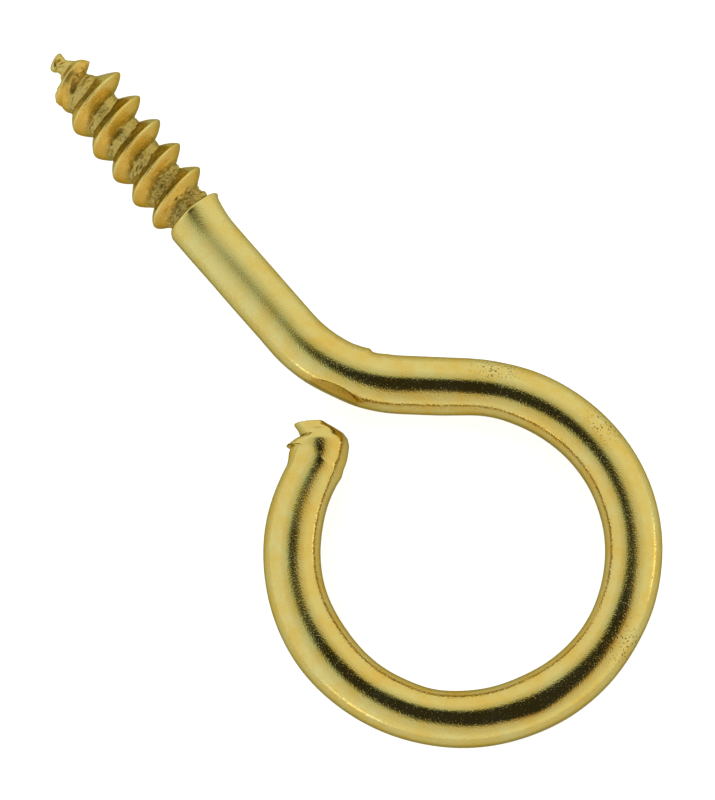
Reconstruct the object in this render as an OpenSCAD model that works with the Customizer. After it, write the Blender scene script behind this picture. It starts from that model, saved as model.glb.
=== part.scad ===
// Screw eye, formed from one length of round wire.
// The eye lies flat in the XY plane with its centre at the origin, and the shank runs along +X to the point.

/* [Wire] */
// Diameter of the round wire
wire_d = 2.4; // [2.2:0.05:2.6]

/* [Eye] */
// Clear diameter inside the eye
eye_d = 11.9; // [11:0.1:14]
// Where the round sweep of the wire stops, as an angle about the eye from the shank's line
eye_end_angle = 17; // [15:1:30]

/* [Neck] */
// Angle between the straight neck and the shank
neck_angle = 47; // [44:1:52]
// Centreline radius of the bend between the neck and the shank
bend_r = 6.5; // [4.5:0.25:7]
// Depth of the flat that the forming tool left on the outside of the bend
flat_depth = 0.1; // [0:0.01:0.2]
// Height of the burr that the tool raised on the inside of the bend
burr_h = 0.06; // [0:0.01:0.15]
// Depth of the dent beside the burr
dent_depth = 0.05; // [0:0.01:0.15]

/* [Shank] */
// Distance from the centre of the eye to the step where the thread starts
step_x = 18.65; // [16:0.05:24]
// How far the shank's line passes beside the centre of the eye
shank_offset = 0.68; // [0.3:0.02:1.2]
// Diameter of the flared rim at the step
flare_d = 2.66; // [2.5:0.01:2.8]
// Length over which the shank flares to that rim
flare_l = 1.6; // [0.8:0.1:2]
// How far the flared rim is pushed to one side
flare_shift = 0.14; // [0:0.01:0.15]

/* [Thread] */
// Outside diameter of the thread
thread_d = 3.1; // [2.8:0.01:3.4]
// Diameter of the thread's root
root_d = 1.9; // [1.7:0.01:2]
// Distance between neighbouring turns
pitch = 1.36; // [1.1:0.01:1.5]
// Length from the step to the tip of the point
thread_l = 9.25; // [8:0.05:14]
// Length over which the root tapers to the point
point_l = 2.5; // [2.2:0.1:3.4]
// Diameter of the blunt nib at the tip
nib_d = 0.72; // [0.5:0.02:0.9]
// Length of the nib
nib_l = 0.7; // [0.5:0.05:1]
// How far off-centre the crests stand from the root at the step
crest_shift = 0.04; // [0:0.01:0.1]
// How much further off-centre they stand at the tip
crest_drift = 0.22; // [0:0.01:0.3]

/* [Cut end] */
// Length of the end that the shears pinched
cut_l = 1.68; // [1.6:0.02:2.2]
// How much the wire's radius shrank where the shears drew it out behind the end
cut_thinning = 0.09; // [0:0.01:0.2]
// Angle by which the pinched end turns away from the eye
cut_angle = 33; // [15:1:36]

/* [Hidden] */

wire_r = wire_d / 2;
columns = 28; // points round every section of the wire and the thread

eye_r = (eye_d + wire_d) / 2; // centreline radius
eye_step = 6; // angle between sections round the eye, at most
eye_turn = neck_angle + 270 - eye_end_angle;

// The neck leaves the eye on a tangent, and the bend turns it onto the shank's line.
corner_x = (eye_r - shank_offset * cos(neck_angle)) / sin(neck_angle);
bend_x = corner_x + bend_r * tan(neck_angle / 2);
bend_steps = 12;

// Marks on the inside of the bend, as [share of the bend from the neck, height]
tool_marks = [[1/12, 0], [1/4, -dent_depth], [1/3, burr_h], [1/2, 0]];
mark_narrowness = 3; // how closely they keep to the wire's inner side

// Angle about the eye over which the wire comes back to its full width behind the cut end
thinning_angle = 28;

// Pinched end, as [share of its length from the eye, outer, inner and upright half widths as shares
// of the wire's radius]. Two nibs stand out on the outer side with a notch between them.
pinch = [
    [1, 0.88, 0.26, 0.75],
    [0.8, 0.73, 0.8, 0.84],
    [0.69, 0.66, 0.96, 0.88],
    [0.56, 0.94, 1.03, 0.92],
    [0.4, 1.17, 1.06, 0.96],
    [0.26, 1.13, 1.05, 0.98],
    [0.1, 0.99, 1.02, 1]
];
pinch_turn = 0.5; // share of the pinched end over which it turns away

rim_bevel = 0.04;
rim_round = 0.18; // the +Y side of the rim is rounded off this much more
rim_round_share = 0.2; // over this share of the flare's length

// Thread: rows of points follow the helix, so that the crest is one clean line.
// One flank is [share of the pitch from the crest, share of the full height], and the other mirrors it.
flank = [[0.04, 1], [0.13, 0.86], [0.24, 0.38], [0.36, 0]];
profile = concat(flank, [for (i = [len(flank) - 1:-1:0]) [1 - flank[i][0], flank[i][1]]]);
profile_rows = len(profile);
crest_h = (thread_d - root_d) / 2;
crest_start = 0.68; // distance from the step to the first crest on the +Y side
run_in = 0.7; // length over which the crest rises from the step
run_out = 1.3; // length over which it fades towards the tip
run_out_end = 0.35; // distance from the tip at which nothing of it is left
tip_x = step_x + thread_l;
nib_x = tip_x - nib_l;
taper_x = tip_x - point_l;
tip_round = 0.3;
tip_flat_r = 0.12;
row_gap = 0.04; // rows closer than this to an end are moved onto it
thread_rows = profile_rows * (ceil(thread_l / pitch) + 3);
root_shift = 0.06; // the root stands this far off the shank's line, on the side of the flare
nib_shift = 0.1; // and the nib this much further

function smooth(t) = let (c = max(0, min(1, t))) c * c * (3 - 2 * c);
function blend(a, b, t) = a + (b - a) * smooth(t);
function dir(a) = [cos(a), sin(a)];

// A section of the wire stands at a place in the plan, across a heading. It has its own half widths
// to the left (towards the eye's centre) and to the right, and a half height.
function section(place, heading, left = wire_r, right = wire_r, height = wire_r, limit = wire_d, mark = 0) = [
    for (j = [0:columns - 1])
        let (
            a = 360 * j / columns,
            side = cos(a) > 0 ? left * cos(a) : right * cos(a),
            across = min(side, limit) - mark * pow(max(0, -cos(a)), mark_narrowness),
            p = place + across * dir(heading + 90)
        )
        [p.x, p.y, height * sin(a)]
];

// The wire is thinner where the shears drew it out behind the cut end.
eye_steps = ceil(eye_turn / eye_step);
eye_sections = [
    for (i = [0:eye_steps])
        let (
            turned = eye_turn * i / eye_steps,
            a = eye_end_angle + turned,
            r = wire_r - cut_thinning * (1 - smooth(turned / thinning_angle))
        )
        section(eye_r * dir(a), a + 90, r, r, r)
];

eye_heading = eye_end_angle + 90;
cut_heading = eye_heading + cut_angle;
cut_start = eye_r * dir(eye_end_angle);
cut_end = cut_start - cut_l * dir(cut_heading);
cut_sections = [
    for (p = pinch)
        section(
            cut_start - p[0] * cut_l * dir(cut_heading),
            eye_heading + cut_angle * smooth(p[0] / pinch_turn),
            p[2] * wire_r, p[1] * wire_r, p[3] * wire_r
        )
];

bend_sections = [
    for (i = [0:bend_steps])
        let (
            a = 90 + neck_angle * (1 - i / bend_steps),
            flat = (bend_r + wire_r - flat_depth) / cos(a - 90 - neck_angle / 2) - bend_r
        )
        section([bend_x, -shank_offset - bend_r] + bend_r * dir(a), a - 90,
            limit = flat, mark = lookup(i / bend_steps, tool_marks))
];

// The flare grows with the square of the distance, and its last section is the bevelled rim at the step.
flare_sections = [
    for (t = [0, 0.35, 0.6, 0.8, 0.95, 1])
        let (
            r = wire_r + t * t * (flare_d - wire_d) / 2 - (t == 1 ? rim_bevel : 0),
            y = -shank_offset - t * t * flare_shift,
            rounding = rim_round * pow(max(0, 1 - (1 - t) / rim_round_share), 2)
        )
        section([step_x - flare_l * (1 - t), y], 0, r - rounding, r, r)
];

wire_sections = concat(cut_sections, eye_sections, bend_sections, flare_sections);

// The thread's own place and size at a distance along the shank's line
function row_x(i, j) =
    step_x + crest_start
    + pitch * (floor(i / profile_rows) - 2 + profile[i % profile_rows][0] + j / columns);
function root_r(x) =
    x < nib_x ? blend(root_d / 2, nib_d / 2, (x - taper_x) / (nib_x - taper_x))
    : x < tip_x - tip_round ? nib_d / 2
    : max(tip_flat_r, nib_d / 2 * sqrt(max(0, 1 - pow((x - tip_x + tip_round) / tip_round, 2))));
function root_y(x) = -shank_offset - root_shift - nib_shift * smooth((x - taper_x) / (nib_x - taper_x));
function height_share(x) =
    smooth((x - step_x) / run_in) * smooth((tip_x - run_out_end - x) / run_out);
function off_centre(x) = crest_shift + crest_drift * (x - step_x) / thread_l;

// The rows at which a column meets the step and the tip
first_rows = [
    for (j = [0:columns - 1]) max([for (i = [0:thread_rows]) if (row_x(i, j) < step_x + row_gap) i])
];
last_rows = [
    for (j = [0:columns - 1]) min([for (i = [0:thread_rows]) if (row_x(i, j) > tip_x - row_gap) i])
];

thread_points = [
    for (i = [0:thread_rows]) for (j = [0:columns - 1])
        let (
            x = i <= first_rows[j] ? step_x : i >= last_rows[j] ? tip_x : row_x(i, j),
            a = 360 * j / columns,
            h = (crest_h - off_centre(x) * cos(a)) * profile[i % profile_rows][1] * height_share(x),
            r = root_r(x) + h
        )
        [x, root_y(x) + r * cos(a), r * sin(a)]
];

wire_count = len(wire_sections) * columns;
end_centre = wire_count + len(thread_points);
tip_centre = end_centre + 1;

// One skin runs from the cut end to the point.
points = concat(
    [for (s = wire_sections) each s],
    thread_points,
    [concat(cut_end, [0]), [tip_x, root_y(tip_x), 0]]
);

function wire_point(i, j) = i * columns + j % columns;
// A row that has gone once round the helix has moved on by one turn.
function thread_point(i, j) =
    j == columns ? thread_point(i + profile_rows, 0)
    : wire_count + max(first_rows[j], min(last_rows[j], i)) * columns + j;
function start_point(j) = thread_point(first_rows[j % columns], j % columns);

// Two triangles between four corners, without those that have shrunk to a line
function quad(a, b, c, d) = concat(
    a == b || b == c || c == a ? [] : [[a, b, c]],
    a == c || c == d || d == a ? [] : [[a, c, d]]
);

faces = concat(
    [for (j = [0:columns - 1]) [end_centre, wire_point(0, j), wire_point(0, j + 1)]],
    [
        for (i = [0:len(wire_sections) - 2]) for (j = [0:columns - 1])
            each quad(wire_point(i, j), wire_point(i + 1, j), wire_point(i + 1, j + 1), wire_point(i, j + 1))
    ],
    [
        for (j = [0:columns - 1])
            let (i = len(wire_sections) - 1)
            each quad(wire_point(i, j), start_point(j), start_point(j + 1), wire_point(i, j + 1))
    ],
    [
        for (i = [0:thread_rows - profile_rows - 1]) for (j = [0:columns - 1])
            each quad(thread_point(i, j), thread_point(i + 1, j), thread_point(i + 1, j + 1), thread_point(i, j + 1))
    ],
    [
        for (j = [0:columns - 1])
            [tip_centre, thread_point(thread_rows, (j + 1) % columns), thread_point(thread_rows, j)]
    ]
);

module screw_eye() {
    color("goldenrod")
        polyhedron(points, faces, convexity = 6);
}

screw_eye();
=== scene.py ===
"""Dresses the screw eye: one closed skin of formed wire with its rolled thread, in electro-brassed steel.
It lies on a white card in a light tent."""

import math

import bpy
import numpy as np
from bpy.props import FloatProperty, FloatVectorProperty, PointerProperty
from mathutils import Matrix, Vector


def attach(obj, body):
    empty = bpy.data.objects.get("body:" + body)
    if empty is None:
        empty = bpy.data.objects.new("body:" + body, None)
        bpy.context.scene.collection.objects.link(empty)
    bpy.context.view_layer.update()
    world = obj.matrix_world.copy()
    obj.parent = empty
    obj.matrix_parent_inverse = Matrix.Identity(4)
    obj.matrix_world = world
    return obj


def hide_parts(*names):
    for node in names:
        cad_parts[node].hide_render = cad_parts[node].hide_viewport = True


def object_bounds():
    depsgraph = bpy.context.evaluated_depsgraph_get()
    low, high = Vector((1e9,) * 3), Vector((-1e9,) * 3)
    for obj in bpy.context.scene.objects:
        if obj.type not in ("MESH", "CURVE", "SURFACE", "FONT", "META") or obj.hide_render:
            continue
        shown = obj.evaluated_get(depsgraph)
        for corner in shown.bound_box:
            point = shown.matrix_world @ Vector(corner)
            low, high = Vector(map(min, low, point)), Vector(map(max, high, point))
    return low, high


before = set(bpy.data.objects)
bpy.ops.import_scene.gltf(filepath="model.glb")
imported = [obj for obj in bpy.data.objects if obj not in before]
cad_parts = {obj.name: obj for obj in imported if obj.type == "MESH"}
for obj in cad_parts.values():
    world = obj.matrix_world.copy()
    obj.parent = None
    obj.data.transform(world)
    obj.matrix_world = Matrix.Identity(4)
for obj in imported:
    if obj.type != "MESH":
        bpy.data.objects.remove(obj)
CAD_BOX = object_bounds()

bl_info = {
    "name": "Screw Eye",
    "version": (1, 0, 0),
    "blender": (4, 5, 0),
    "location": "View3D > Sidebar > Screw Eye",
    "description": "Makes a brassed screw eye and the tent it is shown in",
    "category": "Add Mesh",
}

MM = 0.001

COLUMNS = 128  # points round every ring of the skin
# Distance in mm between the rings of each stretch
RING_GAPS = {
    "cut": 0.04, "eye": 0.25, "neck": 0.2, "bend": 0.08, "shank": 0.3, "flare": 0.05, "thread": 0.022}

# Pinched end, each table as [share of its length from the eye, share of the wire's radius]. Two nibs
# stand out on the outer side with a notch between them.
PINCH_OUTER = np.array([
    [0, 1.17], [0.2, 1.15], [0.4, 1.16], [0.48, 1.08], [0.56, 0.95], [0.68, 0.66], [0.8, 0.72], [1, 0.88]])
PINCH_BODY = np.array([[0, 0.93], [0.5, 0.96], [0.68, 0.66], [0.8, 0.72], [1, 0.88]])
PINCH_INNER = np.array([
    [0, 0.93], [0.25, 1.0], [0.45, 1.05], [0.62, 1.0], [0.75, 0.87], [0.88, 0.58], [1, 0.26]])
PINCH_HEIGHT = np.array([[0, 0.93], [0.5, 0.96], [0.8, 0.82], [1, 0.7]])
PINCH_TURN = 0.5  # share of the pinched end over which it turns away
NIB_NARROWNESS = 2  # how closely the nibs keep to the outer side
NIB_TAIL = math.radians(6)  # angle of the eye over which the nib behind the notch fades
CUT_THINNING = 0.09 * MM  # how much the wire's radius shrank where the shears drew it out
THINNING_ANGLE = math.radians(28)  # angle of the eye over which it comes back to its full width

# Marks on the inside of the bend, as [share of the bend from the neck, height in mm]
TOOL_MARKS = np.array([[0.15, 0], [0.24, -0.05], [0.29, -0.05], [0.325, 0.075], [0.37, 0.045], [0.5, 0]])
MARK_NARROWNESS = 3  # how closely they keep to the inner side
# A second face of the same tool, above the flat on the outside of the bend
FACE_TILT, FACE_DEPTH, FACE_HALF = math.radians(18), 0.125 * MM, 0.95 * MM
FACE_SHIFT = 0.2 * MM  # from the middle of the bend towards the neck

# Where the forming rolls left the wire wider or narrower, as (angle about the eye in degrees, growth of the
# outer and the inner half width in mm, spread in degrees)
SWELLS = [
    (84, 0.05, 0.08, 16),
    (128, -0.01, -0.05, 9),
    (164, -0.02, 0.07, 14),
    (200, -0.05, -0.03, 12),
    (250, 0.04, -0.02, 26),
    (308, -0.03, -0.03, 8),
]
NECK_SWELL = 0.05 * MM  # on the outer side of the neck and the bend
SWELL_GROWS, SWELL_FADES = 2, 1.5  # it grows over 1/2 of the neck, and fades over 1/1.5 of the bend

# Where the wire's upper side falls off faster to one side, as (distance in mm along the wire from the
# start of the eye, 1 towards the eye's centre or -1 away from it, drop in mm, spread in mm)
LEANS = [
    (-0.1, 1, 0.06, 0.9),
    (3.2, -1, 0.045, 2.5),
    (14.5, 1, 0.03, 3.0),
    (18.4, -1, -0.04, 0.9),
    (38.9, 1, 0.07, 2.3),
]
LEAN_TOP, LEAN_FOOT = 0.75, 0.5  # radians from the top and from the middle plane over which they set in
SHOULDER = 0.03 * MM  # how much the drawn wire is fuller than round, between its upper side and its flanks
# Radians above the middle plane at which the shoulder is full and starts to fade, and how far it takes
SHOULDER_FULL, SHOULDER_TOP, SHOULDER_FADE = 0.35, 0.45, 0.6
SHOULDER_GROWS = MM  # distance along the wire over which the shoulders set in

# Noise on the skin, as (cell along the wire, cells round it, seed), with its height in mm
WAVES, WAVE_HEIGHT = (1.6 * MM, 5, 11), 0.009  # left by the rolls
SCORES, SCORE_HEIGHT = (0.7 * MM, 60, 12), 0.014  # dragged by the shears
RAGGED, RAGGED_HEIGHT = (1 * MM, 22, 13), 0.02  # on the rim
# Where along the wire the score marks start and end, each with the length over which they fade
SCORES_FROM, SCORES_RISE, SCORES_TO, SCORES_FALL = -1.2 * MM, 0.6 * MM, 1.6 * MM, 1.2 * MM
SCORES_GAIN = 1.6  # they are full from 1/1.6 of the way to the outer side
WRINKLE_AT, WRINKLE_HALF, WRINKLE_DEPTH = -0.25 * MM, 0.1 * MM, 0.02  # depth in mm
WRINKLE_FROM, WRINKLE_GAIN = 0.45, 3  # share of the way to the inner side, full 1/3 further on

# Rim at the step
RIM_BEVEL, BEVEL_SHARE = 0.04 * MM, 0.05  # over this share of the flare's length
RIM_ROUND, ROUND_SHARE = 0.18 * MM, 0.2  # the +Y side is rounded off this much more
RIM_WIDTH = 0.2 * MM  # of the ragged edge
RIM_FACE = 0.1 * MM  # distance along the skin from the rim's edge to the thread
TOOTH_AT, TOOTH_HALF, TOOTH_HEIGHT = math.radians(172), math.radians(13), 0.06  # height in mm

# Thread. Distances across a turn are shares of the pitch.
CREST_START = 0.69 * MM  # from the step to the first crest on the +Y side
LAST_TURN_SHIFT = 0.19 * MM  # the last turn stands this much nearer the tip
LAST_TURN_FROM_TIP, LAST_TURN_BLEND = 2.35 * MM, 1.2 * MM  # where it starts, and how long that takes
RIDGE_HALF, RIDGE_LEAN = 0.34, 0.04  # a flank's reach from the crest, and how much less on the tip side
FLANK_BULGE, FLANK_HOLLOW = 0.3, 0.25  # fullness on the sides, and hollow of the tip side in the middle
SIDE_BLEND = 0.1  # distance over which the step side's form passes into the tip side's
ROOT_FILLET = 0.04  # share of the ridge's height
CROWN_SHARP, CROWN_FULL = 0.012, 0.055  # rounding of the crest in the middle and on both sides
CREST_SHIFT, CREST_DRIFT = 0.04 * MM, 0.2 * MM  # crests off the root's centre, and added by the tip
RUN_IN, RUN_OUT, RUN_OUT_END = 0.7 * MM, 1.1 * MM, 0.35 * MM
LOBE_AT, LOBE_HEIGHT, LOBE_HALF = 7.68 * MM, 0.14 * MM, 0.28 * MM  # fat end of the last turn
LOBE_TURN = 0.2  # radians from the +Y side
RIBS_FROM, RIBS_FADE, RIB_HEIGHT = 7.2 * MM, 0.3 * MM, 0.04 * MM  # ribs along the last turn
RIBS_PER_PITCH, RIB_CRUMBS = 3, 0.5  # and how much the crumbs break them up
TIP_SLANT = 0.35  # the tip is cut back towards the +Y side
TIP_ROUND, TIP_RINGS, TIP_LAST_RING = 0.12 * MM, 14, 80  # the last ring's angle is in degrees
ROOT_SHIFT, NIB_SHIFT, NIB_HOOK = 0.06 * MM, 0.1 * MM, 0.12 * MM  # the nib hooks back towards +Y
HOOK_SHARE = 0.4  # of the nib's length
WAIST, WAIST_WAVE, WAIST_START = 0.1, 4, 1  # share by which the nib's radius waves, and the wave in radians
HOLLOW_FROM_TIP, HOLLOW_HALF, HOLLOW_DEPTH = 0.42 * MM, 0.16 * MM, 0.16 * MM  # a dent in the nib
HOLLOW_TURN, HOLLOW_NARROWNESS = 0.4, 3  # radians from +Y, and how closely it keeps to its side

# Crumbs in the root, where the rolls tore the wire, as (noise, weight): worst next to the step
CRUMBS = [((0.2 * MM, 26, 3), 1), ((0.11 * MM, 50, 4), 1), ((0.065 * MM, 80, 5), 0.5)]
CRUMB_HEIGHT = 0.06 * MM
BARE_ROOT, BARE_RISE, BARE_FROM = 1.15, 0.45, 0.1 * MM  # bare where the ridge is lower than about half
TORN_FURTHER, TORN_REACH = 0.35, 5 * MM  # share of the crumbs that is left this far from the step
NIB_CALM, RIB_TORN = 0.8, 0.2  # share by which the nib has less, and what the ribs have
DENTS, DENT_HEIGHT = (0.5 * MM, 9, 6), 0.02 * MM
SCUFFS, SCUFF_DEPTH, SCUFF_NOISE = (0.25 * MM, 16, 7), 0.05 * MM, 0.5  # the last turn's crest is worn down

# Where the finish changes, and where warm reflection and shade are painted into it. The patches of pits in
# the plate are on the outer side, as (distance in mm along the wire from the start of the eye, spread).
PITTED = [(22.6, 0.8), (31.7, 0.7), (36.4, 0.9)]
PITTED_GAIN = 2.5  # full from 1/2.5 of the way to the outer side
WARM_INSIDE, WARM_FADE = 0.25, 6 * MM  # painted warm reflection inside the eye, and how far past it
FACE_MIDDLE, FACE_FALL, FACE_PAINTED_SHADE = 5, 4.5, 0.5  # painted shade and warm reflection on the tool's face, out to about its half length
FACE_GAIN, FACE_START, FACE_FOOT = 4, 2.6, -0.1  # and on the inner side, above the middle plane
DRAWN_BEFORE, DRAWN_GROWS = 1.5 * MM, 3 * MM  # drawn skin from this far before the end of the bend
FLANK_RISE, FLANK_EDGE = 0.2, 0.1  # painted warm reflection on the thread's step-side flanks
FLANK_WARMTH, FLANK_SWING = 0.8, 0.2  # in the middle, and how much it changes to both sides
NIB_PLATED = 0.5


def smooth(t):
    """3t^2 - 2t^3 between 0 and 1, flat outside."""
    t = np.clip(t, 0.0, 1.0)
    return t * t * (3 - 2 * t)


def blend(a, b, t):
    """From a to b by the smooth step of t."""
    return a + (b - a) * smooth(t)


def bell(distance, spread):
    """e to the minus square of the distance over the spread: 1 in the middle, fading on both sides."""
    return np.exp(-(distance / spread) ** 2)


def eased(share, table):
    """Values between the rows of a table, joined by smooth steps."""
    k = np.clip(np.searchsorted(table[:, 0], share) - 1, 0, len(table) - 2)
    start, end = table[k], table[k + 1]
    return blend(start[:, 1], end[:, 1], (share - start[:, 0]) / (end[:, 0] - start[:, 0]))


def heading_vector(angle):
    """The unit vector in the plan that points along an angle."""
    return np.stack([np.cos(angle), np.sin(angle)], axis=-1)


def rough(along, around, cell, cells_around, seed):
    """Value noise on the skin: random heights at the corners of a grid of cells, with a smooth step
    between them. It closes on itself round the wire."""
    rows, shares = along / cell, around / (2 * math.pi) * cells_around
    i, j = np.floor(rows).astype(int), np.floor(shares).astype(int)
    heights = np.random.default_rng(seed).uniform(-1, 1, (i.max() + 2, cells_around))
    u, v = smooth(rows - i), smooth(shares - j)
    near = heights[i, j % cells_around] * (1 - v) + heights[i, (j + 1) % cells_around] * v
    far = heights[i + 1, j % cells_around] * (1 - v) + heights[i + 1, (j + 1) % cells_around] * v
    return near * (1 - u) + far * u


# ---------------------------------------------------------------- sizes and colours


def linear(hex_colour):
    """An sRGB hex colour as linear RGBA."""
    parts = [int(hex_colour[k:k + 2], 16) / 255 for k in (1, 3, 5)]
    return [p / 12.92 if p <= 0.04045 else ((p + 0.055) / 1.055) ** 2.4 for p in parts] + [1.0]


class ScrewEyeSizes(bpy.types.PropertyGroup):
    """The driving sizes of the formed wire and its thread."""

    wire_d: FloatProperty(
        name="Wire", description="Diameter of the round wire", default=2.4 * MM, unit="LENGTH")
    eye_d: FloatProperty(
        name="Eye", description="Clear diameter inside the eye", default=11.9 * MM, unit="LENGTH")
    eye_end: FloatProperty(
        name="Eye's end", description="Where the round sweep of the wire stops, from the shank's line",
        default=math.radians(17), subtype="ANGLE")
    neck_angle: FloatProperty(
        name="Neck", description="Angle between the straight neck and the shank",
        default=math.radians(47), subtype="ANGLE")
    bend_r: FloatProperty(
        name="Bend radius", description="Centreline radius of the bend onto the shank",
        default=6.5 * MM, unit="LENGTH")
    flat_depth: FloatProperty(
        name="Flat", description="Depth of the tool's flat on the outside of the bend",
        default=0.1 * MM, unit="LENGTH")
    step_x: FloatProperty(
        name="Step", description="Distance from the eye's centre to the step",
        default=18.65 * MM, unit="LENGTH")
    shank_offset: FloatProperty(
        name="Shank offset", description="How far the shank's line passes beside the eye's centre",
        default=0.68 * MM, unit="LENGTH")
    flare_d: FloatProperty(
        name="Rim", description="Diameter of the flared rim at the step", default=2.66 * MM, unit="LENGTH")
    flare_l: FloatProperty(
        name="Flare length", description="Length over which the shank flares",
        default=1.6 * MM, unit="LENGTH")
    flare_shift: FloatProperty(
        name="Rim shift", description="How far the rim is pushed to one side",
        default=0.14 * MM, unit="LENGTH")
    thread_d: FloatProperty(
        name="Thread", description="Outside diameter of the thread", default=3.1 * MM, unit="LENGTH")
    root_d: FloatProperty(name="Root", description="Diameter of the root", default=1.9 * MM, unit="LENGTH")
    pitch: FloatProperty(
        name="Pitch", description="Distance between neighbouring turns", default=1.36 * MM, unit="LENGTH")
    thread_l: FloatProperty(
        name="Thread length", description="From the step to the tip", default=9.25 * MM, unit="LENGTH")
    point_l: FloatProperty(
        name="Point", description="Length over which the root tapers", default=2.5 * MM, unit="LENGTH")
    nib_d: FloatProperty(
        name="Nib", description="Diameter of the blunt nib", default=0.72 * MM, unit="LENGTH")
    nib_l: FloatProperty(name="Nib length", description="Length of the nib", default=0.7 * MM, unit="LENGTH")
    cut_l: FloatProperty(
        name="Pinched end", description="Length of the end that the shears pinched",
        default=1.68 * MM, unit="LENGTH")
    cut_angle: FloatProperty(
        name="Pinch turn", description="Angle by which the pinched end turns away from the eye",
        default=math.radians(33), subtype="ANGLE")


class ScrewEyeFinish(bpy.types.PropertyGroup):
    """The colours of the brassed steel, with the warm reflection and the shade painted into it."""

    bright: FloatVectorProperty(
        name="Bright plate", description="Brass plate where it is thick", subtype="COLOR", size=4,
        default=linear("#D5C77A"), min=0, max=1)
    warm: FloatVectorProperty(
        name="Warm plate", description="Clouds in the plate with more copper", subtype="COLOR", size=4,
        default=linear("#D7BA5E"), min=0, max=1)
    # This colour is painted warm reflection, inside the eye, on the tool's face and on the thread's step-side
    # flanks.
    thin: FloatVectorProperty(
        name="Thin plate", description="Brass plate where little current reached the steel", subtype="COLOR",
        size=4, default=linear("#D4AA4A"), min=0, max=1)
    # This colour is also painted shade, on the tool's face and in the thread's root beside the torn steel.
    dull: FloatVectorProperty(
        name="Dull steel", description="Torn steel in the thread's root, with little plate", subtype="COLOR",
        size=4, default=linear("#B09A50"), min=0, max=1)
    pit: FloatVectorProperty(
        name="Pits", description="Rust-brown pits through the plate", subtype="COLOR", size=4,
        default=linear("#80602A"), min=0, max=1)


class ScrewEyeStage(bpy.types.PropertyGroup):
    """The camera's place."""

    distance: FloatProperty(
        name="Distance", description="From the camera to the object", default=0.32, unit="LENGTH")
    tilt: FloatProperty(
        name="Tilt", description="How far the camera stands from straight above",
        default=math.radians(14.5), subtype="ANGLE")


# ---------------------------------------------------------------- the wire


def rings(count, **values):
    """A stretch of rings: each value as one number per ring."""
    return {name: np.broadcast_to(value, (count,) + np.shape(value)[1:]).astype(float)
            for name, value in values.items()}


def count_for(length, stretch):
    """How many rings a stretch of that length in metres takes."""
    return max(2, math.ceil(length / (RING_GAPS[stretch] * MM)) + 1)


def eye_stretch(sizes, eye_r, wire_r):
    """The round of the eye: a circle about the origin, with the swells that the forming rolls left."""
    turn = sizes.neck_angle + math.radians(270) - sizes.eye_end
    count = count_for(turn * eye_r, "eye")
    turned = np.linspace(0, turn, count)
    angle = sizes.eye_end + turned
    thin = -CUT_THINNING * (1 - smooth(turned / THINNING_ANGLE))
    nib = (PINCH_OUTER[0, 1] - PINCH_BODY[0, 1]) * wire_r * (1 - smooth(turned / NIB_TAIL))
    outer, inner = np.full(count, wire_r) + thin, np.full(count, wire_r) + thin
    for centre, outer_growth, inner_growth, spread in SWELLS:
        swell = bell(np.degrees(angle) - centre, spread)
        outer += outer_growth * MM * swell
        inner += inner_growth * MM * swell
    return rings(
        count, place=eye_r * heading_vector(angle), heading=angle + math.radians(90),
        left=inner, right=outer, height=(inner + outer) / 2, flat=1.0, face=1.0, mark=0.0, nib=nib,
        along=turned * eye_r)


def cut_stretch(sizes, eye_r, wire_r):
    """The pinched end: a short straight that turns away from the eye, with half widths from the tables."""
    count = count_for(sizes.cut_l, "cut")
    share = np.linspace(1, 0, count)[:-1]
    eye_heading = sizes.eye_end + math.radians(90)
    heading = eye_heading + sizes.cut_angle * smooth(share / PINCH_TURN)
    body, height = (eased(share, table) * wire_r for table in (PINCH_BODY, PINCH_HEIGHT))
    inner = np.interp(share, *PINCH_INNER.T) * wire_r
    nib = np.clip(np.interp(share, *PINCH_OUTER.T) * wire_r - body, 0, None)
    start = eye_r * heading_vector(sizes.eye_end)
    place = start - share[:, None] * sizes.cut_l * heading_vector(eye_heading + sizes.cut_angle)
    return rings(
        count - 1, place=place, heading=heading, left=inner, right=body, height=height,
        flat=1.0, face=1.0, mark=0.0, nib=nib, along=-share * sizes.cut_l)


def neck_stretch(sizes, start, end, wire_r, along):
    """The straight neck between the eye and the bend."""
    length = np.linalg.norm(end - start)
    count = count_for(length, "neck")
    share = np.linspace(0, 1, count)[1:-1, None]
    swell = NECK_SWELL * smooth(share[:, 0] * SWELL_GROWS)
    return rings(
        count - 2, place=start + share * (end - start), heading=sizes.neck_angle,
        left=wire_r + swell, right=wire_r, height=wire_r, flat=1.0, face=1.0, mark=0.0, nib=0.0,
        along=along + share[:, 0] * length)


def bend_stretch(sizes, bend_x, wire_r, along):
    """The bend: an arc onto the shank's line, with the tool's flat outside and its marks inside."""
    count = count_for(sizes.bend_r * sizes.neck_angle, "bend")
    share = np.linspace(0, 1, count)
    angle = math.radians(90) + sizes.neck_angle * (1 - share)
    centre = np.array([bend_x, -sizes.shank_offset - sizes.bend_r])
    reach = sizes.bend_r + wire_r - sizes.flat_depth
    flat = reach / np.cos(angle - math.radians(90) - sizes.neck_angle / 2) - sizes.bend_r
    from_middle = (share - 0.5) * (sizes.bend_r + wire_r) * sizes.neck_angle + FACE_SHIFT
    face = wire_r - FACE_DEPTH * (1 - (from_middle / FACE_HALF) ** 2)
    swell = NECK_SWELL * (1 - smooth(share * SWELL_FADES))
    return rings(
        count, place=centre + sizes.bend_r * heading_vector(angle), heading=angle - math.radians(90),
        left=wire_r + swell, right=wire_r, height=wire_r, flat=flat, face=face,
        mark=np.interp(share, *TOOL_MARKS.T) * MM, nib=0.0,
        along=along + share * sizes.bend_r * sizes.neck_angle)


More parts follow.
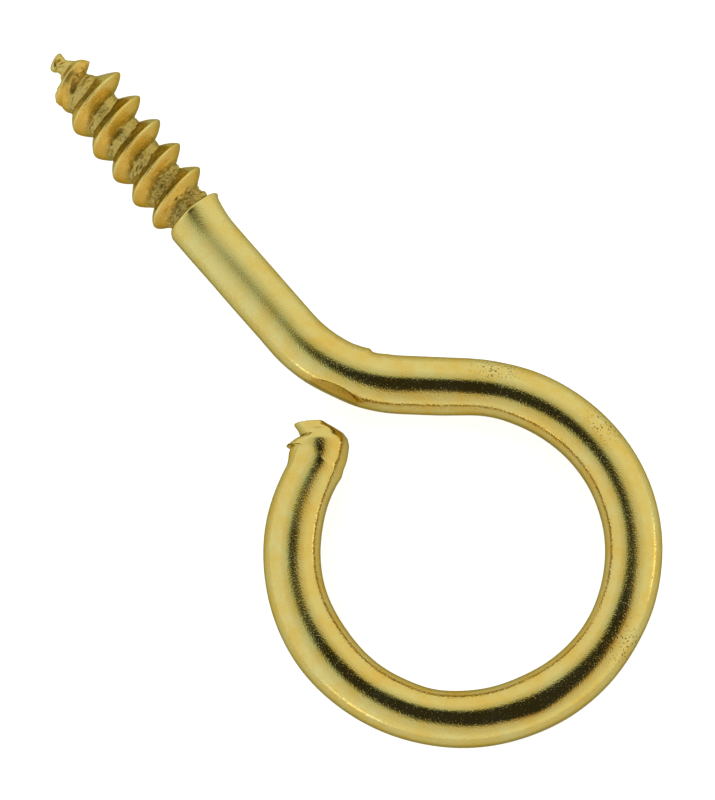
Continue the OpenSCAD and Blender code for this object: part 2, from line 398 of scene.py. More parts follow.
def shank_stretch(sizes, bend_x, wire_r, along):
    """The straight shank, which flares with the square of the distance into a rim at the step."""
    flare_x = sizes.step_x - sizes.flare_l
    plain = np.linspace(bend_x, flare_x, count_for(flare_x - bend_x, "shank"))[1:]
    share = np.linspace(0, 1, count_for(sizes.flare_l, "flare"))[1:]
    x = np.concatenate([plain, flare_x + share * sizes.flare_l])
    t = np.clip((x - flare_x) / sizes.flare_l, 0, 1)
    bevel = RIM_BEVEL * np.clip(1 - (1 - t) / BEVEL_SHARE, 0, 1) ** 2
    rounding = RIM_ROUND * np.clip(1 - (1 - t) / ROUND_SHARE, 0, 1) ** 2
    radius = wire_r + t * t * (sizes.flare_d - sizes.wire_d) / 2 - bevel
    place = np.stack([x, -sizes.shank_offset - t * t * sizes.flare_shift], axis=-1)
    return rings(
        len(x), place=place, heading=0.0, left=radius - rounding, right=radius, height=radius,
        flat=1.0, face=1.0, mark=0.0, nib=0.0, along=along + x - bend_x)


def wire_points(stretch, around, relief):
    """Carries the section along the rings: across is cos(a) times the half width of that side, up is
    sin(a) times the half height. The nibs and the tool's mark stand out on one side only. The tool's two
    faces cut off what lies past an upright plane and past one that leans back."""
    c, s = np.cos(around), np.sin(around)
    left, right, height, flat, face, mark, nib, heading = (
        stretch[k][:, None] for k in ("left", "right", "height", "flat", "face", "mark", "nib", "heading"))
    away = np.clip(-c, 0, None)
    across = np.where(c > 0, (left + relief) * c, (right + relief) * c)
    across = across - mark * away ** MARK_NARROWNESS - nib * away ** NIB_NARROWNESS
    up = (height + relief) * s
    for tilt, limit in ((0.0, flat), (FACE_TILT, face)):
        past = np.clip(across * math.cos(tilt) + up * math.sin(tilt) - limit, 0, None)
        across = across - past * math.cos(tilt)
        up = up - past * math.sin(tilt)
    return np.stack([
        stretch["place"][:, 0, None] - across * np.sin(heading),
        stretch["place"][:, 1, None] + across * np.cos(heading),
        up,
    ], axis=-1)


def wire_relief(along, around):
    """Small forms of the wire's skin: the drawn wire's shoulders, the leans of its upper side, slow waves
    from the rolls, score marks that the shears dragged along the nibs' side, a wrinkle across the inner
    side of the pinched end, and a ragged rim at the step."""
    along, around = np.broadcast_arrays(along[:, None], around)
    above = np.arctan2(np.sin(around), np.abs(np.cos(around)))  # angle above the middle plane
    fade = 1 - smooth((above - SHOULDER_TOP) / SHOULDER_FADE)
    shoulder = SHOULDER * smooth(above / SHOULDER_FULL) * fade * smooth(along / SHOULDER_GROWS)
    for place, side, drop, spread in LEANS:
        lean = bell(along / MM - place, spread) * (np.cos(around) * side > 0)
        lean = lean * smooth((math.pi / 2 - above) / LEAN_TOP) * smooth(above / LEAN_FOOT)
        shoulder = shoulder - drop * MM * lean

    outer, inner = np.clip(-np.cos(around), 0, 1), np.clip(np.cos(around), 0, 1)
    waves = rough(along - along.min(), around, *WAVES)
    near_nibs = smooth((along - SCORES_FROM) / SCORES_RISE) * smooth((SCORES_TO - along) / SCORES_FALL)
    scores = rough(along - along.min(), around, *SCORES) * near_nibs * smooth(outer * SCORES_GAIN)
    wrinkle = bell(along - WRINKLE_AT, WRINKLE_HALF) * smooth((inner - WRINKLE_FROM) * WRINKLE_GAIN)
    rim = smooth(1 - (along.max() - along) / RIM_WIDTH)
    ragged = rough(0 * along, around, *RAGGED)
    tooth = bell(around - TOOTH_AT, TOOTH_HALF)
    fine = WAVE_HEIGHT * waves + SCORE_HEIGHT * scores - WRINKLE_DEPTH * wrinkle
    return shoulder + (fine + rim * (RAGGED_HEIGHT * ragged + TOOTH_HEIGHT * tooth)) * MM


# ---------------------------------------------------------------- the thread


def ridge(turns, around):
    """One turn's ridge over a pitch, from 1 on the crest to 0 in the root. The height is a straight line
    plus a cube of the distance, with the crest rounded by one hyperbola and the root by another. In the
    middle the crest is sharp, the step side straight and the tip side hollow. On both sides the crest is
    rounder and the flanks are full."""
    full = np.cos(around) ** 2
    crown = CROWN_SHARP + (CROWN_FULL - CROWN_SHARP) * full
    offset = (turns + 0.5) % 1 - 0.5
    tip_side = smooth(0.5 + offset / SIDE_BLEND)
    bulge = FLANK_BULGE * full - FLANK_HOLLOW * (1 - full) * tip_side
    reach = RIDGE_HALF - RIDGE_LEAN * (1 - full) * (2 * tip_side - 1)
    t = (np.sqrt(offset ** 2 + crown ** 2) - crown) / reach
    height = 1 - (1 - bulge) * t - bulge * t ** 3
    return (height + np.sqrt(height ** 2 + ROOT_FILLET ** 2)) / 2


def thread_points(sizes, around):
    """The thread as rings across the shank's line. The radius is the root's, tapered to the nib, plus a
    ridge that follows the helix. The ridge rises from the step, stands off-centre and fades towards the
    tip. Also gives the finish's masks on it, with the painted warm reflection on the step-side flanks."""
    tip_x = sizes.step_x + sizes.thread_l
    nib_x, taper_x = tip_x - sizes.nib_l, tip_x - sizes.point_l
    x = np.linspace(sizes.step_x, tip_x - TIP_ROUND, count_for(sizes.thread_l - TIP_ROUND, "thread"))
    bow = np.radians(np.linspace(0, TIP_LAST_RING, TIP_RINGS))[1:]
    x = np.concatenate([x, tip_x - TIP_ROUND + TIP_ROUND * np.sin(bow)])[:, None]
    taper = smooth((x - taper_x) / (nib_x - taper_x))
    root = sizes.root_d / 2 + (sizes.nib_d - sizes.root_d) / 2 * taper
    rounded = np.clip(x - tip_x + TIP_ROUND, 0, None) / TIP_ROUND
    root = root * np.sqrt(np.clip(1 - rounded ** 2, 0, None))

    a = around[None, :]
    from_step = x - sizes.step_x
    last = smooth((from_step - sizes.thread_l + LAST_TURN_FROM_TIP) / LAST_TURN_BLEND)
    turns = (from_step - CREST_START - LAST_TURN_SHIFT * last) / sizes.pitch - a / (2 * math.pi)
    off_centre = CREST_SHIFT + CREST_DRIFT * from_step / sizes.thread_l
    crest = (sizes.thread_d - sizes.root_d) / 2 - off_centre * np.cos(a)
    shown = smooth(from_step / RUN_IN) * smooth((tip_x - RUN_OUT_END - x) / RUN_OUT)
    share = ridge(turns, a) * shown

    along, across = np.broadcast_arrays(from_step, a)
    crumbs = sum(weight * rough(along, across, *noise) for noise, weight in CRUMBS)
    bare = np.clip(BARE_ROOT - share / BARE_RISE, 0, 1) * smooth(from_step / BARE_FROM)
    torn = bare * blend(1.0, TORN_FURTHER, from_step / TORN_REACH) * (1 - NIB_CALM * taper)
    toward_tip = (turns + 0.5) % 1 - 0.5
    # Painted warm reflection on the step-side flanks, stronger on the +Y side.
    flank = smooth(share / FLANK_RISE) * smooth(1 - (toward_tip + FLANK_EDGE) / FLANK_EDGE)
    flank = flank * (FLANK_WARMTH + FLANK_SWING * np.cos(a))
    before_nib = 1 - smooth((x - nib_x + RIBS_FADE) / RIBS_FADE)
    ribbed = smooth((from_step - RIBS_FROM) / RIBS_FADE) * before_nib
    torn = np.maximum(torn, RIB_TORN * ribbed)

    radius = root + crest * share + CRUMB_HEIGHT * crumbs * torn
    radius = radius + DENT_HEIGHT * rough(along, across, *DENTS) * shown
    radius = radius - SCUFF_DEPTH * last * share * (1 + SCUFF_NOISE * rough(along, across, *SCUFFS))
    lobe = bell(from_step - LOBE_AT, LOBE_HALF) * np.clip(np.cos(a + LOBE_TURN), 0, 1) ** 2
    ribs = ribbed * np.sin(turns * (2 * RIBS_PER_PITCH) * math.pi) * (1 + RIB_CRUMBS * crumbs)
    radius = radius + LOBE_HEIGHT * lobe + RIB_HEIGHT * ribs
    radius = radius * (1 + WAIST * taper * np.sin((x - nib_x) / sizes.nib_l * WAIST_WAVE - WAIST_START))
    hollow = bell(x - tip_x + HOLLOW_FROM_TIP, HOLLOW_HALF)
    hollow = hollow * np.clip(np.sin(a - HOLLOW_TURN), 0, 1) ** HOLLOW_NARROWNESS
    radius = radius - HOLLOW_DEPTH * hollow

    hook = NIB_HOOK * smooth((x - nib_x) / (HOOK_SHARE * sizes.nib_l))
    y = -sizes.shank_offset - ROOT_SHIFT - NIB_SHIFT * taper + hook
    slant = TIP_SLANT * smooth((x - nib_x) / sizes.nib_l) * (radius * np.cos(a) + sizes.nib_d / 2)
    points = np.stack([x - slant, y + radius * np.cos(a), radius * np.sin(a)], axis=-1)
    masks = {
        "torn_root": torn,
        # The dull tone in the root is torn steel and painted shade in the recess.
        "dull_steel_and_shade": bare * (1 - NIB_PLATED * taper),
        "rolled_thread": np.broadcast_to(1 + ribbed, share.shape),
        "painted_warm_reflection": flank,
    }
    return points, masks


# ---------------------------------------------------------------- the skin


def skin_grid(sizes):
    """All rings of the skin from the cut end to the tip, with the distance along it and the finish's
    masks."""
    wire_r = sizes.wire_d / 2
    eye_r = (sizes.eye_d + sizes.wire_d) / 2
    around = np.arange(COLUMNS) * (2 * math.pi / COLUMNS)
    corner_x = (eye_r - sizes.shank_offset * math.cos(sizes.neck_angle)) / math.sin(sizes.neck_angle)
    bend_x = corner_x + sizes.bend_r * math.tan(sizes.neck_angle / 2)

    cut = cut_stretch(sizes, eye_r, wire_r)
    eye = eye_stretch(sizes, eye_r, wire_r)
    bend = bend_stretch(sizes, bend_x, wire_r, 0.0)
    neck = neck_stretch(sizes, eye["place"][-1], bend["place"][0], wire_r, eye["along"][-1])
    bend["along"] = bend["along"] + neck["along"][-1]
    shank = shank_stretch(sizes, bend_x, wire_r, bend["along"][-1])
    stretches = [cut, eye, neck, bend, shank]
    wire = {name: np.concatenate([s[name] for s in stretches]) for name in cut}

    points = wire_points(wire, around, wire_relief(wire["along"], around))
    thread, on_thread = thread_points(sizes, around)
    on_wire = wire_masks(wire["along"], around, eye["along"][-1], bend["along"])
    past_step = thread[:, 0, 0] - sizes.step_x + RIM_FACE
    along = np.concatenate([wire["along"], wire["along"][-1] + past_step])
    wire_plain, thread_plain = np.zeros(points.shape[:2]), np.zeros(thread.shape[:2])
    masks = {
        name: np.concatenate([on_wire.get(name, wire_plain), on_thread.get(name, thread_plain)])
        for name in {**on_wire, **on_thread}
    }
    return np.concatenate([points, thread]), along, masks


def wire_masks(along, around, eye_end, bend_along):
    """Where the finish changes on the wire: painted warm reflection inside the eye, painted shade and warm
    reflection on the tool's face, pitted in patches on the outer side, and drawn on the shank."""
    in_eye = 1 - smooth((along - eye_end) / WARM_FADE)
    from_face = np.abs(along - bend_along.mean() + FACE_SHIFT) / FACE_HALF
    face = smooth(FACE_MIDDLE - FACE_FALL * from_face)[:, None]
    face = face * smooth(np.cos(around) * FACE_GAIN - FACE_START) * (np.sin(around) > FACE_FOOT)
    on_shank = smooth((along - bend_along[-1] + DRAWN_BEFORE) / DRAWN_GROWS)
    spots = sum(bell(along / MM - place, spread) for place, spread in PITTED)
    return {
        # Painted shade on the tool's face.
        "dull_steel_and_shade": FACE_PAINTED_SHADE * face,
        # Painted warm reflection inside the eye and on the tool's face.
        "painted_warm_reflection": np.clip(np.cos(around), 0, 1) * WARM_INSIDE * in_eye[:, None] + face,
        "pitted_plate": spots[:, None] * smooth(-np.cos(around) * PITTED_GAIN) * (np.sin(around) > 0),
        "drawn_shank": on_shank[:, None] * np.ones(COLUMNS),
    }


def closed_mesh(name, girth, grid, along, masks):
    """A mesh from rings: quads between neighbouring rings and a fan round a middle point at each end,
    with a UV map of metres along and round the wire, and the masks as attributes."""
    count = grid.shape[0]
    ends = np.stack([grid[0].mean(axis=0), grid[-1].mean(axis=0)])
    vertices = np.concatenate([grid.reshape(-1, 3), ends])
    i, j = np.meshgrid(np.arange(count - 1), np.arange(COLUMNS), indexing="ij")
    after = (j + 1) % COLUMNS
    ring, next_ring = i * COLUMNS, (i + 1) * COLUMNS
    quads = np.stack([ring + j, ring + after, next_ring + after, next_ring + j], axis=-1)
    first, second = j[0], after[0]
    last_ring, start_point = (count - 1) * COLUMNS, np.full(COLUMNS, count * COLUMNS)
    start_fan = np.stack([start_point, second, first], axis=-1)
    tip_fan = np.stack([start_point + 1, last_ring + first, last_ring + second], axis=-1)

    mesh = bpy.data.meshes.new(name)
    faces = quads.reshape(-1, 4).tolist() + start_fan.tolist() + tip_fan.tolist()
    mesh.from_pydata(vertices, [], faces)

    round_share = np.stack([j, j + 1, j + 1, j], axis=-1) / COLUMNS
    along_quads = np.stack([along[i], along[i], along[i + 1], along[i + 1]], axis=-1)
    quad_uv = np.stack([along_quads, round_share * girth], axis=-1).reshape(-1, 2)
    fan_uv = np.zeros((2 * 3 * COLUMNS, 2))
    fan_uv[:3 * COLUMNS, 0], fan_uv[3 * COLUMNS:, 0] = along[0], along[-1]
    layer = mesh.uv_layers.new(name="WireMap")
    layer.data.foreach_set("uv", np.concatenate([quad_uv, fan_uv]).astype(np.float32).ravel())

    for mask_name, values in masks.items():
        mask = mesh.attributes.new(mask_name, "FLOAT", "POINT")
        mask.data.foreach_set("value", np.append(values.ravel(), [0, 0]).astype(np.float32))
    mesh.polygons.foreach_set("use_smooth", np.ones(len(mesh.polygons), bool))
    mesh.validate()
    return mesh


# ---------------------------------------------------------------- materials

# Sizes of the patterns in the plate
BLOTCH, PIT, GRAIN, CRUMB = 1.1 * MM, 0.09 * MM, 0.06 * MM, 0.09 * MM
LINE_LENGTH, LINE_WIDTH = 0.6 * MM, 0.06 * MM
# Levels of the noise between which each pattern sets in
BLOTCH_LEVELS, PIT_LEVELS, SPECK_LEVELS = (0.38, 0.62), (0.6, 0.74), (0.58, 0.8)
SHANK_BLOTCHES = -0.3  # the drawn shank shows fewer of the blotches
DULL_SHARE = 0.8
GRAIN_HEIGHT = 0.0032 * MM
LINE_HEIGHT, SPECK_HEIGHT, CRUMB_RELIEF = 0.1, 0.5, 18.0  # times the grain's height
PLATE_ROUGHNESS = 0.09
TORN_ROUGHER, DRAWN_ROUGHER, ROLLED_ROUGHER, SPECKS_ROUGHER = 0.15, 0.15, 0.14, 0.2
EDGE_TINT = "#B9B698"  # the mirror's colour at a glancing angle
PAPER = "#E6E6E6"
CAMERA_LIFT, MIRROR_LIFT = 0.76, 0.3  # added to the card as the camera and as the metal sees it


def add(tree, kind, inputs=None, **settings):
    """Adds a node with its settings, and gives each named or numbered input a value or a link."""
    node = tree.nodes.new(kind)
    for name, value in settings.items():
        setattr(node, name, value)
    for name, value in (inputs or {}).items():
        if isinstance(value, bpy.types.NodeSocket):
            tree.links.new(value, node.inputs[name])
        else:
            node.inputs[name].default_value = value
    return node


def new_material(name):
    """An empty node material and its node tree."""
    material = bpy.data.materials.new(name)
    material.use_nodes = True
    material.node_tree.nodes.clear()
    return material, material.node_tree


def brassed_steel(finish):
    """Steel wire, electroplated with bright brass after forming. The plate is a mirror with a fine grain.
    Warm reflection is painted into its colour inside the eye, on the tool's face and on the step-side
    flanks of the thread; shade is painted on the tool's face and in the root. The shank kept the dull skin of
    the drawn wire under it."""
    material, tree = new_material("electro_brassed_steel")
    place = add(tree, "ShaderNodeTexCoord").outputs["Object"]
    wire_map = add(tree, "ShaderNodeUVMap", uv_map="WireMap").outputs[0]
    torn, dull, rolled, thin, pitted, drawn = (
        add(tree, "ShaderNodeAttribute", attribute_name=name).outputs["Fac"]
        for name in ("torn_root", "dull_steel_and_shade", "rolled_thread", "painted_warm_reflection", "pitted_plate", "drawn_shank"))

    blotches = add(tree, "ShaderNodeTexNoise", {
        "Vector": place, "Scale": 1 / BLOTCH, "Detail": 5.0, "Roughness": 0.65}).outputs[0]
    blotches = add(tree, "ShaderNodeMapRange", {
        "Value": blotches, 1: BLOTCH_LEVELS[0], 2: BLOTCH_LEVELS[1]}).outputs[0]
    blotches = add(tree, "ShaderNodeMath", {
        0: drawn, 1: SHANK_BLOTCHES, 2: blotches}, operation="MULTIPLY_ADD").outputs[0]
    dull = add(tree, "ShaderNodeMath", {0: dull, 1: DULL_SHARE}, operation="MULTIPLY").outputs[0]
    pits = add(tree, "ShaderNodeTexNoise", {"Vector": place, "Scale": 1 / PIT, "Detail": 0.0}).outputs[0]
    pits = add(tree, "ShaderNodeMapRange", {"Value": pits, 1: PIT_LEVELS[0], 2: PIT_LEVELS[1]}).outputs[0]
    pits = add(tree, "ShaderNodeMath", {0: pits, 1: pitted}, operation="MULTIPLY").outputs[0]
    tone = finish.bright
    # The thin colour paints warm reflection, and the dull one also paints shade, into the plate's tone.
    for factor, colour in (
            (blotches, finish.warm), (thin, finish.thin), (dull, finish.dull), (pits, finish.pit)):
        tone = add(tree, "ShaderNodeMix", {
            "Factor": factor, "A": tone, "B": colour}, data_type="RGBA").outputs["Result"]

    # Grain of the plate, lines along the drawn wire, and crumbs in the torn root
    grain = add(tree, "ShaderNodeTexNoise", {"Vector": place, "Scale": 1 / GRAIN, "Detail": 1.0}).outputs[0]
    specks = add(tree, "ShaderNodeTexNoise", {"Vector": place, "Scale": 1 / GRAIN, "Detail": 0.0}).outputs[0]
    specks = add(tree, "ShaderNodeMapRange", {
        "Value": specks, 1: SPECK_LEVELS[0], 2: SPECK_LEVELS[1]}).outputs[0]
    lines = add(tree, "ShaderNodeVectorMath", {
        0: wire_map, 1: (1 / LINE_LENGTH, 1 / LINE_WIDTH, 1)}, operation="MULTIPLY").outputs[0]
    lines = add(tree, "ShaderNodeTexNoise", {"Vector": lines, "Scale": 1.0, "Detail": 1.0}).outputs[0]
    crumbs = add(tree, "ShaderNodeTexNoise", {"Vector": place, "Scale": 1 / CRUMB, "Detail": 3.0}).outputs[0]
    crumbs = add(tree, "ShaderNodeMath", {0: crumbs, 1: torn}, operation="MULTIPLY").outputs[0]
    height = grain
    for pattern, share in ((lines, LINE_HEIGHT), (specks, SPECK_HEIGHT), (crumbs, CRUMB_RELIEF)):
        height = add(tree, "ShaderNodeMath", {
            0: pattern, 1: share, 2: height}, operation="MULTIPLY_ADD").outputs[0]
    bump = add(tree, "ShaderNodeBump", {
        "Strength": 1.0, "Distance": GRAIN_HEIGHT, "Height": height}).outputs[0]

    roughness = PLATE_ROUGHNESS
    for mask, share in (
            (torn, TORN_ROUGHER), (drawn, DRAWN_ROUGHER), (rolled, ROLLED_ROUGHER), (specks, SPECKS_ROUGHER)):
        roughness = add(tree, "ShaderNodeMath", {
            0: mask, 1: share, 2: roughness}, operation="MULTIPLY_ADD").outputs[0]
    shader = add(tree, "ShaderNodeBsdfPrincipled", {
        "Base Color": tone, "Metallic": 1.0, "Specular Tint": linear(EDGE_TINT), "Roughness": roughness,
        "Normal": bump})
    add(tree, "ShaderNodeOutputMaterial", {"Surface": shader.outputs[0]})
    return material


def paper():
    """White card: matt and plain. Seen by the camera and in the metal it is lifted to white, and it keeps
    the object's shadow."""
    material, tree = new_material("white_card")
    seen = add(tree, "ShaderNodeLightPath").outputs
    mirrored = add(tree, "ShaderNodeMath", {
        0: seen["Is Glossy Ray"], 1: seen["Is Transmission Ray"]}, operation="MAXIMUM").outputs[0]
    mirrored = add(tree, "ShaderNodeMath", {0: mirrored, 1: MIRROR_LIFT}, operation="MULTIPLY").outputs[0]
    lift = add(tree, "ShaderNodeMath", {
        0: seen["Is Camera Ray"], 1: CAMERA_LIFT, 2: mirrored}, operation="MULTIPLY_ADD").outputs[0]
    matt = add(tree, "ShaderNodeBsdfDiffuse", {"Color": linear(PAPER)})
    glow = add(tree, "ShaderNodeEmission", {"Strength": lift})
    both = add(tree, "ShaderNodeAddShader", {0: matt.outputs[0], 1: glow.outputs[0]})
    add(tree, "ShaderNodeOutputMaterial", {"Surface": both.outputs[0]})
    return material


# ---------------------------------------------------------------- the stage


TARGET = Vector((7.897, -0.906, 0.0)) * MM  # the point that the camera looks at
VIEW_HEADING = math.radians(-33.83)  # the way the camera looks, along the floor
VIEW_ROLL = math.radians(6.5)
SENSOR = 36.0  # mm
IMAGE_WIDTH, PIXELS_PER_METRE = 715, 23750
FRAME_WIDTH = IMAGE_WIDTH / PIXELS_PER_METRE  # m that the frame spans at the object
CLIP_START, CLIP_END = 0.01, 10.0
# The tent's opening. Its reach is 1 on the ellipse of its half sizes.
OPENING_HEIGHT = 60 * MM  # above the object, along the line of sight
OPENING_SHIFT = (8.8 * MM, -5.6 * MM)  # to the right and up of the line of sight
OPENING_TURN = math.radians(38.7)
OPENING_HALF = (34 * MM, 44.5 * MM)
OPENING_CARD = 0.15  # half the side of the card that it is in
OPENING_GLOW = 0.035  # of its dark middle
EDGE_FROM, EDGE_TO, EDGE_LIGHT = 0.68, 1.25, 0.66  # the first step out of the dark
WALL_TO, WALL_LIGHT = 2.8, 0.34  # the second and slower one, up to the open tent
STAIN_TOWARD, STAIN_WIDTH = (0.418, -0.909), 60 * MM  # the way to the orange side, across the opening
STAIN_GREEN, STAIN_ORANGE, UNSTAINED = (0.87, 1, 0.8, 1), (1, 0.76, 0.45, 1), (1, 1, 1, 1)
STAIN_FADES, STAIN_ENDS = 0.9, 1.5
WARM_SIDE = math.radians(20)  # above the camera's right
TENT_COOL, TENT_WARM = (0.97, 1.0, 1.1, 1), (1.03, 1.0, 0.9, 1)
LAMPS = (math.radians(100), math.radians(-121))  # on the level of the table
LAMP_GLOW, LAMP_TOP = 1.2, 0.15  # added to the tent's own strength, up to this share of the way up
LAMP_EDGE, LAMP_FULL = 0.965, 0.99  # cosines between which a lamp sets in
# The floor
FLOOR_HALF = 1.0
THREAD_CONTACT = 25.5 * MM  # where along X the thread's lowest crest lies on it
SQUARE = ((-1, -1), (1, -1), (1, 1), (-1, 1))


def camera_axes(stage):
    """Right, up and back of the camera as unit vectors: it stands off by the tilt, looks along the
    heading and is rolled about its own line of sight."""
    c, s = math.cos(stage.tilt), math.sin(stage.tilt)
    away = Vector((math.cos(VIEW_HEADING), math.sin(VIEW_HEADING), 0))
    back = Vector((0, 0, c)) - away * s
    level_up = away * c + Vector((0, 0, s))
    level_right = level_up.cross(back)
    right = level_right * math.cos(VIEW_ROLL) - level_up * math.sin(VIEW_ROLL)
    up = level_right * math.sin(VIEW_ROLL) + level_up * math.cos(VIEW_ROLL)
    return right, up, back


def make_camera(stage):
    """A long lens that looks down on the eye, a little from one side."""
    right, up, back = camera_axes(stage)
    data = bpy.data.cameras.new("camera")
    data.sensor_fit, data.sensor_width = "HORIZONTAL", SENSOR
    data.lens = SENSOR * stage.distance / FRAME_WIDTH
    data.clip_start, data.clip_end = CLIP_START, CLIP_END
    camera = bpy.data.objects.new("camera", data)
    camera.matrix_world = Matrix((right, up, back)).transposed().to_4x4()
    camera.location = TARGET + back * stage.distance
    bpy.context.scene.collection.objects.link(camera)
    bpy.context.scene.camera = camera


def tent_world(stage):
    """A white tent, a little warmer on one side than on the other, with the glow of two lamps low in its
    wall."""
    right, up, _ = camera_axes(stage)
    world = bpy.data.worlds.new("light_tent")
    world.use_nodes = True
    tree = world.node_tree
    tree.nodes.clear()
    toward = add(tree, "ShaderNodeTexCoord").outputs["Generated"]
    warm_side = right * math.cos(WARM_SIDE) + up * math.sin(WARM_SIDE)
    warmth = add(tree, "ShaderNodeVectorMath", {
        0: toward, 1: warm_side}, operation="DOT_PRODUCT").outputs["Value"]
    warmth = add(tree, "ShaderNodeMapRange", {"Value": warmth, 1: -1.0}).outputs[0]
    tint = add(tree, "ShaderNodeMix", {
        "Factor": warmth, "A": TENT_COOL, "B": TENT_WARM}, data_type="RGBA").outputs["Result"]

    level = add(tree, "ShaderNodeSeparateXYZ", {0: toward}).outputs["Z"]
    low = add(tree, "ShaderNodeMapRange", {
        "Value": level, 1: 0.0, 2: LAMP_TOP, 3: LAMP_GLOW, 4: 0.0}).outputs[0]
    strength = 1.0
    for lamp in LAMPS:
        near = add(tree, "ShaderNodeVectorMath", {
            0: toward, 1: (math.cos(lamp), math.sin(lamp), 0)}, operation="DOT_PRODUCT").outputs["Value"]
        near = add(tree, "ShaderNodeMapRange", {"Value": near, 1: LAMP_EDGE, 2: LAMP_FULL}).outputs[0]
        strength = add(tree, "ShaderNodeMath", {
            0: near, 1: low, 2: strength}, operation="MULTIPLY_ADD").outputs[0]
    background = add(tree, "ShaderNodeBackground", {"Color": tint, "Strength": strength})
    add(tree, "ShaderNodeOutputWorld", {"Surface": background.outputs[0]})
    bpy.context.scene.world = world


def dark_opening():
    """The tent's opening, dark in the middle. The tent grows light in two steps past its soft elliptical
    edge. The light that passes near the edge is stained orange on one side and green on the other."""
    material, tree = new_material("tent_opening")
    place = add(tree, "ShaderNodeTexCoord").outputs["Object"]
    shares = add(tree, "ShaderNodeVectorMath", {
        0: place, 1: (1 / OPENING_HALF[0], 1 / OPENING_HALF[1], 0)}, operation="MULTIPLY").outputs["Vector"]
    reach = add(tree, "ShaderNodeVectorMath", {0: shares}, operation="LENGTH").outputs["Value"]
    edge = add(tree, "ShaderNodeMapRange", {
        "Value": reach, 1: EDGE_FROM, 2: EDGE_TO, 4: EDGE_LIGHT},
        interpolation_type="SMOOTHSTEP").outputs[0]
    wall = add(tree, "ShaderNodeMapRange", {
        "Value": reach, 1: EDGE_FROM, 2: WALL_TO, 4: WALL_LIGHT}).outputs[0]
    clear = add(tree, "ShaderNodeMath", {0: edge, 1: wall}).outputs[0]

    toward_orange = (STAIN_TOWARD[0] / STAIN_WIDTH, STAIN_TOWARD[1] / STAIN_WIDTH, 0)
    side = add(tree, "ShaderNodeVectorMath", {
        0: place, 1: toward_orange}, operation="DOT_PRODUCT").outputs["Value"]
    side = add(tree, "ShaderNodeMapRange", {"Value": side, 1: -0.5, 2: 0.5}).outputs[0]
    beyond = add(tree, "ShaderNodeMapRange", {
        "Value": reach, 1: STAIN_FADES, 2: STAIN_ENDS}).outputs[0]
    stain = STAIN_GREEN
    for factor, colour in ((side, STAIN_ORANGE), (beyond, UNSTAINED)):
        stain = add(tree, "ShaderNodeMix", {
            "Factor": factor, "A": stain, "B": colour}, data_type="RGBA").outputs["Result"]
    dark = add(tree, "ShaderNodeEmission", {"Strength": OPENING_GLOW})
    passed = add(tree, "ShaderNodeBsdfTransparent", {"Color": stain})
    mix = add(tree, "ShaderNodeMixShader", {0: clear, 1: dark.outputs[0], 2: passed.outputs[0]})
    add(tree, "ShaderNodeOutputMaterial", {"Surface": mix.outputs[0]})
    return material


def flat_card(name, corners, material):
    """A card from its four corners, in the scene."""
    mesh = bpy.data.meshes.new(name)
    mesh.from_pydata(corners, [], [(0, 1, 2, 3)])
    mesh.materials.append(material)
    card = bpy.data.objects.new(name, mesh)
    bpy.context.scene.collection.objects.link(card)
    return card


def make_opening(stage):
    """A card square to the camera's line of sight, near the object. The camera looks through it."""
    right, up, back = camera_axes(stage)
    corners = [(x * OPENING_CARD, y * OPENING_CARD, 0) for x, y in SQUARE]
    card = flat_card("tent_opening", corners, dark_opening())
    axes = Matrix((right, up, back)).transposed() @ Matrix.Rotation(OPENING_TURN, 3, "Z")
    card.matrix_world = axes.to_4x4()
    card.location = TARGET + back * OPENING_HEIGHT + right * OPENING_SHIFT[0] + up * OPENING_SHIFT[1]
    card.visible_camera = False


def make_floor(wire_r):
    """A square of card that touches the eye's underside and the thread's lowest crest."""
    low = CAD_BOX[0]
    fall = (-wire_r - low.z) / (THREAD_CONTACT - low.x)
    corners = [
        (x * FLOOR_HALF, y * FLOOR_HALF, -wire_r - fall * (x * FLOOR_HALF - low.x)) for x, y in SQUARE]
    flat_card("floor", corners, paper())


# ---------------------------------------------------------------- operators and panel


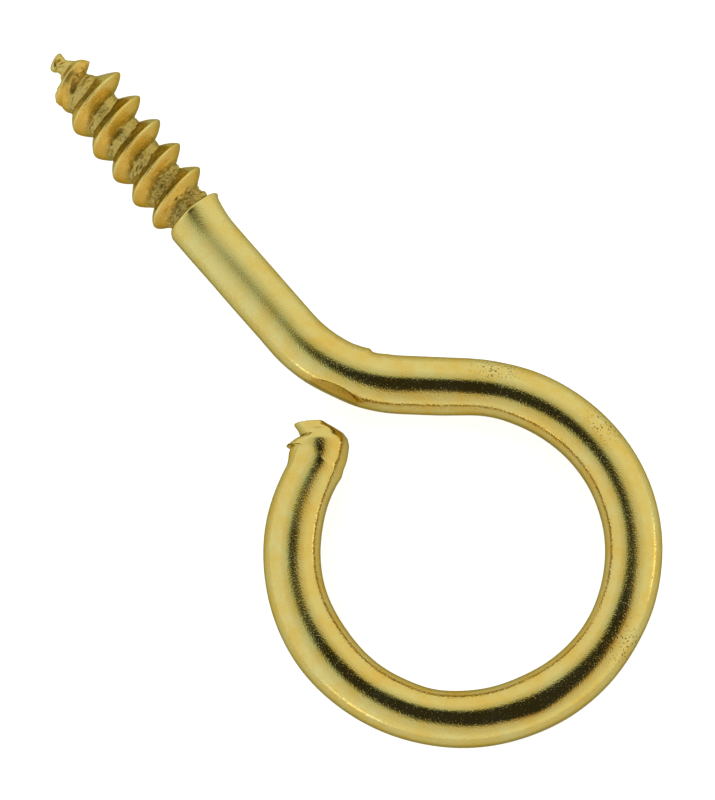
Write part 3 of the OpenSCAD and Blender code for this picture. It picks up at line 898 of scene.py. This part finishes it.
class SCREWEYE_OT_stage(bpy.types.Operator):
    """Makes the camera, the tent and the floor"""

    bl_idname = "screw_eye.make_stage"
    bl_label = "Make the stage"

    def execute(self, context):
        stage = context.scene.screw_eye_stage
        make_camera(stage)
        tent_world(stage)
        make_opening(stage)
        make_floor(context.scene.screw_eye_sizes.wire_d / 2)
        return {"FINISHED"}


class SCREWEYE_OT_piece(bpy.types.Operator):
    """Makes the screw eye's skin, with its finish, in place of the plain solid"""

    bl_idname = "screw_eye.make_piece"
    bl_label = "Make the screw eye"

    def execute(self, context):
        sizes = context.scene.screw_eye_sizes
        mesh = closed_mesh("brassed_screw_eye", math.pi * sizes.wire_d, *skin_grid(sizes))
        mesh.materials.append(brassed_steel(context.scene.screw_eye_finish))
        piece = bpy.data.objects.new("brassed_screw_eye", mesh)
        context.scene.collection.objects.link(piece)
        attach(piece, "root")
        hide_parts("screw_eye")
        return {"FINISHED"}


class SCREWEYE_PT_panel(bpy.types.Panel):
    """Lists the operators and the settings"""

    bl_label = "Screw Eye"
    bl_idname = "SCREWEYE_PT_panel"
    bl_space_type = "VIEW_3D"
    bl_region_type = "UI"
    bl_category = "Screw Eye"

    def draw(self, context):
        for operator in OPERATORS:
            self.layout.operator(operator.bl_idname)
        for group, settings in SETTINGS.items():
            box = self.layout.box()
            for name in settings.__annotations__:
                box.prop(getattr(context.scene, group), name)


OPERATORS = (SCREWEYE_OT_stage, SCREWEYE_OT_piece)
SETTINGS = {
    "screw_eye_sizes": ScrewEyeSizes,
    "screw_eye_finish": ScrewEyeFinish,
    "screw_eye_stage": ScrewEyeStage,
}
CLASSES = (*SETTINGS.values(), *OPERATORS, SCREWEYE_PT_panel)


def register():
    """Registers the classes and puts their settings on the scene."""
    for cls in CLASSES:
        bpy.utils.register_class(cls)
    for group, settings in SETTINGS.items():
        setattr(bpy.types.Scene, group, PointerProperty(type=settings))


def unregister():
    """Takes back what register put in."""
    for group in SETTINGS:
        delattr(bpy.types.Scene, group)
    for cls in reversed(CLASSES):
        bpy.utils.unregister_class(cls)


def main():
    register()
    bpy.context.scene.view_settings.view_transform = "Standard"
    bpy.ops.screw_eye.make_stage()
    bpy.ops.screw_eye.make_piece()


if __name__ == "__main__":
    main()
